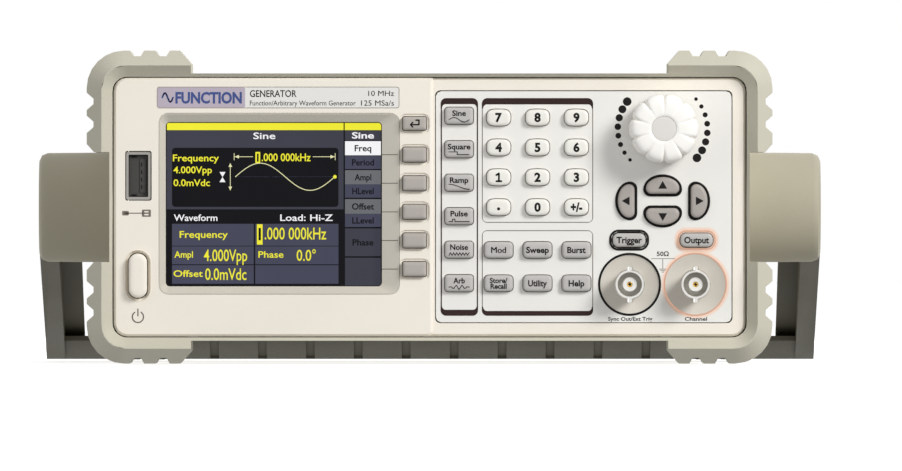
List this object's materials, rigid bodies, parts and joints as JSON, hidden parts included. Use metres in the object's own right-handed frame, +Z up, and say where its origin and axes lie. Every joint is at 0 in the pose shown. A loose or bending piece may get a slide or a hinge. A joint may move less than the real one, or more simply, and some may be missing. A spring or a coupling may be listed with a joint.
{
  "type": "function generator",
  "caption": "Half-rack bench function generator: colour screen, keypad, knob, two BNC jacks, soft corner boots and a swinging carrying handle.",
  "frame": {"origin": "bottom centre of the whole object, on the surface it stands on", "axes": "+X to the right seen from the front, +Y to the back, +Z up; the front faces -Y"},
  "size_m": [0.2642, 0.281, 0.1047],
  "materials": {
    "ivory_plastic": "fine satin texture",
    "panel_plastic": "satin",
    "grey_key": "satin",
    "white_key": "satin",
    "boot_rubber": "matt soft moulding",
    "handle_plastic": "fine texture",
    "nickel": "nickel plate",
    "black_plastic": "moulded",
    "circuit_board": "solder mask",
    "painted_sheet": "powder coat",
    "lens_glass": "clear polished",
    "display_frame": "smooth"
  },
  "bodies": {
    "instrument": {"front_bezel": "ivory_plastic", "keypad_panel": "panel_plastic", "display_window": "lens_glass", "display_module": "display_frame", "keypad_board": "circuit_board", "main_board": "circuit_board", "power_supply": "circuit_board", "top_cover": "painted_sheet", "bottom_chassis": "painted_sheet", "rear_panel": "painted_sheet", "front_boot": "boot_rubber", "rear_boot": "boot_rubber", "left_hub": "handle_plastic", "right_hub": "handle_plastic", "encoder": "nickel", "bnc_sync": "nickel", "bnc_channel": "nickel", "usb_host_port": "nickel", "usb_device_port": "nickel", "mains_inlet": "black_plastic"},
    "knob_body": {"knob": "white_key", "encoder_shaft": "nickel"},
    "handle_body": {"handle": "handle_plastic"},
    "return_key_body": {"return_key": "grey_key"},
    "soft_key_1_body": {"soft_key_1": "grey_key"},
    "soft_key_2_body": {"soft_key_2": "grey_key"},
    "soft_key_3_body": {"soft_key_3": "grey_key"},
    "soft_key_4_body": {"soft_key_4": "grey_key"},
    "soft_key_5_body": {"soft_key_5": "grey_key"},
    "wave_key_sine_body": {"wave_key_sine": "grey_key"},
    "wave_key_square_body": {"wave_key_square": "grey_key"},
    "wave_key_ramp_body": {"wave_key_ramp": "grey_key"},
    "wave_key_pulse_body": {"wave_key_pulse": "grey_key"},
    "wave_key_noise_body": {"wave_key_noise": "grey_key"},
    "wave_key_arbitrary_body": {"wave_key_arbitrary": "grey_key"},
    "number_key_7_body": {"number_key_7": "white_key"},
    "number_key_8_body": {"number_key_8": "white_key"},
    "number_key_9_body": {"number_key_9": "white_key"},
    "number_key_4_body": {"number_key_4": "white_key"},
    "number_key_5_body": {"number_key_5": "white_key"},
    "number_key_6_body": {"number_key_6": "white_key"},
    "number_key_1_body": {"number_key_1": "white_key"},
    "number_key_2_body": {"number_key_2": "white_key"},
    "number_key_3_body": {"number_key_3": "white_key"},
    "number_key_point_body": {"number_key_point": "white_key"},
    "number_key_0_body": {"number_key_0": "white_key"},
    "number_key_sign_body": {"number_key_sign": "white_key"},
    "function_key_mod_body": {"function_key_mod": "grey_key"},
    "function_key_sweep_body": {"function_key_sweep": "grey_key"},
    "function_key_burst_body": {"function_key_burst": "grey_key"},
    "function_key_store_body": {"function_key_store": "grey_key"},
    "function_key_utility_body": {"function_key_utility": "grey_key"},
    "function_key_help_body": {"function_key_help": "grey_key"},
    "arrow_key_up_body": {"arrow_key_up": "grey_key"},
    "arrow_key_left_body": {"arrow_key_left": "grey_key"},
    "arrow_key_down_body": {"arrow_key_down": "grey_key"},
    "arrow_key_right_body": {"arrow_key_right": "grey_key"},
    "trigger_key_body": {"trigger_key": "grey_key"},
    "output_key_body": {"output_key": "grey_key"},
    "power_button_body": {"power_button": "ivory_plastic"}
  },
  "joints": [
    {"name": "handle_swing", "type": "hinge", "parent": "instrument", "child": "handle_body", "pos_m": [0, -0.0355, 0.05235], "axis": [-1, 0, 0], "range_deg": [0, 250]},
    {"name": "knob_turn", "type": "hinge", "parent": "instrument", "child": "knob_body", "pos_m": [0.0783, -0.1335, 0.0785], "axis": [0, 1, 0], "continuous": true},
    {"name": "return_key_press", "type": "slide", "parent": "instrument", "child": "return_key_body", "axis": [0, 1, 0], "range_m": [0, 0.0012], "stiffness_N_per_m": 400},
    {"name": "soft_key_1_press", "type": "slide", "parent": "instrument", "child": "soft_key_1_body", "axis": [0, 1, 0], "range_m": [0, 0.0012], "stiffness_N_per_m": 400},
    {"name": "soft_key_2_press", "type": "slide", "parent": "instrument", "child": "soft_key_2_body", "axis": [0, 1, 0], "range_m": [0, 0.0012], "stiffness_N_per_m": 400},
    {"name": "soft_key_3_press", "type": "slide", "parent": "instrument", "child": "soft_key_3_body", "axis": [0, 1, 0], "range_m": [0, 0.0012], "stiffness_N_per_m": 400},
    {"name": "soft_key_4_press", "type": "slide", "parent": "instrument", "child": "soft_key_4_body", "axis": [0, 1, 0], "range_m": [0, 0.0012], "stiffness_N_per_m": 400},
    {"name": "soft_key_5_press", "type": "slide", "parent": "instrument", "child": "soft_key_5_body", "axis": [0, 1, 0], "range_m": [0, 0.0012], "stiffness_N_per_m": 400},
    {"name": "wave_key_sine_press", "type": "slide", "parent": "instrument", "child": "wave_key_sine_body", "axis": [0, 1, 0], "range_m": [0, 0.0012], "stiffness_N_per_m": 400},
    {"name": "wave_key_square_press", "type": "slide", "parent": "instrument", "child": "wave_key_square_body", "axis": [0, 1, 0], "range_m": [0, 0.0012], "stiffness_N_per_m": 400},
    {"name": "wave_key_ramp_press", "type": "slide", "parent": "instrument", "child": "wave_key_ramp_body", "axis": [0, 1, 0], "range_m": [0, 0.0012], "stiffness_N_per_m": 400},
    {"name": "wave_key_pulse_press", "type": "slide", "parent": "instrument", "child": "wave_key_pulse_body", "axis": [0, 1, 0], "range_m": [0, 0.0012], "stiffness_N_per_m": 400},
    {"name": "wave_key_noise_press", "type": "slide", "parent": "instrument", "child": "wave_key_noise_body", "axis": [0, 1, 0], "range_m": [0, 0.0012], "stiffness_N_per_m": 400},
    {"name": "wave_key_arbitrary_press", "type": "slide", "parent": "instrument", "child": "wave_key_arbitrary_body", "axis": [0, 1, 0], "range_m": [0, 0.0012], "stiffness_N_per_m": 400},
    {"name": "number_key_7_press", "type": "slide", "parent": "instrument", "child": "number_key_7_body", "axis": [0, 1, 0], "range_m": [0, 0.0012], "stiffness_N_per_m": 400},
    {"name": "number_key_8_press", "type": "slide", "parent": "instrument", "child": "number_key_8_body", "axis": [0, 1, 0], "range_m": [0, 0.0012], "stiffness_N_per_m": 400},
    {"name": "number_key_9_press", "type": "slide", "parent": "instrument", "child": "number_key_9_body", "axis": [0, 1, 0], "range_m": [0, 0.0012], "stiffness_N_per_m": 400},
    {"name": "number_key_4_press", "type": "slide", "parent": "instrument", "child": "number_key_4_body", "axis": [0, 1, 0], "range_m": [0, 0.0012], "stiffness_N_per_m": 400},
    {"name": "number_key_5_press", "type": "slide", "parent": "instrument", "child": "number_key_5_body", "axis": [0, 1, 0], "range_m": [0, 0.0012], "stiffness_N_per_m": 400},
    {"name": "number_key_6_press", "type": "slide", "parent": "instrument", "child": "number_key_6_body", "axis": [0, 1, 0], "range_m": [0, 0.0012], "stiffness_N_per_m": 400},
    {"name": "number_key_1_press", "type": "slide", "parent": "instrument", "child": "number_key_1_body", "axis": [0, 1, 0], "range_m": [0, 0.0012], "stiffness_N_per_m": 400},
    {"name": "number_key_2_press", "type": "slide", "parent": "instrument", "child": "number_key_2_body", "axis": [0, 1, 0], "range_m": [0, 0.0012], "stiffness_N_per_m": 400},
    {"name": "number_key_3_press", "type": "slide", "parent": "instrument", "child": "number_key_3_body", "axis": [0, 1, 0], "range_m": [0, 0.0012], "stiffness_N_per_m": 400},
    {"name": "number_key_point_press", "type": "slide", "parent": "instrument", "child": "number_key_point_body", "axis": [0, 1, 0], "range_m": [0, 0.0012], "stiffness_N_per_m": 400},
    {"name": "number_key_0_press", "type": "slide", "parent": "instrument", "child": "number_key_0_body", "axis": [0, 1, 0], "range_m": [0, 0.0012], "stiffness_N_per_m": 400},
    {"name": "number_key_sign_press", "type": "slide", "parent": "instrument", "child": "number_key_sign_body", "axis": [0, 1, 0], "range_m": [0, 0.0012], "stiffness_N_per_m": 400},
    {"name": "function_key_mod_press", "type": "slide", "parent": "instrument", "child": "function_key_mod_body", "axis": [0, 1, 0], "range_m": [0, 0.0012], "stiffness_N_per_m": 400},
    {"name": "function_key_sweep_press", "type": "slide", "parent": "instrument", "child": "function_key_sweep_body", "axis": [0, 1, 0], "range_m": [0, 0.0012], "stiffness_N_per_m": 400},
    {"name": "function_key_burst_press", "type": "slide", "parent": "instrument", "child": "function_key_burst_body", "axis": [0, 1, 0], "range_m": [0, 0.0012], "stiffness_N_per_m": 400},
    {"name": "function_key_store_press", "type": "slide", "parent": "instrument", "child": "function_key_store_body", "axis": [0, 1, 0], "range_m": [0, 0.0012], "stiffness_N_per_m": 400},
    {"name": "function_key_utility_press", "type": "slide", "parent": "instrument", "child": "function_key_utility_body", "axis": [0, 1, 0], "range_m": [0, 0.0012], "stiffness_N_per_m": 400},
    {"name": "function_key_help_press", "type": "slide", "parent": "instrument", "child": "function_key_help_body", "axis": [0, 1, 0], "range_m": [0, 0.0012], "stiffness_N_per_m": 400},
    {"name": "arrow_key_up_press", "type": "slide", "parent": "instrument", "child": "arrow_key_up_body", "axis": [0, 1, 0], "range_m": [0, 0.0012], "stiffness_N_per_m": 400},
    {"name": "arrow_key_left_press", "type": "slide", "parent": "instrument", "child": "arrow_key_left_body", "axis": [0, 1, 0], "range_m": [0, 0.0012], "stiffness_N_per_m": 400},
    {"name": "arrow_key_down_press", "type": "slide", "parent": "instrument", "child": "arrow_key_down_body", "axis": [0, 1, 0], "range_m": [0, 0.0012], "stiffness_N_per_m": 400},
    {"name": "arrow_key_right_press", "type": "slide", "parent": "instrument", "child": "arrow_key_right_body", "axis": [0, 1, 0], "range_m": [0, 0.0012], "stiffness_N_per_m": 400},
    {"name": "trigger_key_press", "type": "slide", "parent": "instrument", "child": "trigger_key_body", "axis": [0, 1, 0], "range_m": [0, 0.0012], "stiffness_N_per_m": 400},
    {"name": "output_key_press", "type": "slide", "parent": "instrument", "child": "output_key_body", "axis": [0, 1, 0], "range_m": [0, 0.0012], "stiffness_N_per_m": 400},
    {"name": "power_button_press", "type": "slide", "parent": "instrument", "child": "power_button_body", "axis": [0, 1, 0], "range_m": [0, 0.002], "stiffness_N_per_m": 500}
  ]
}
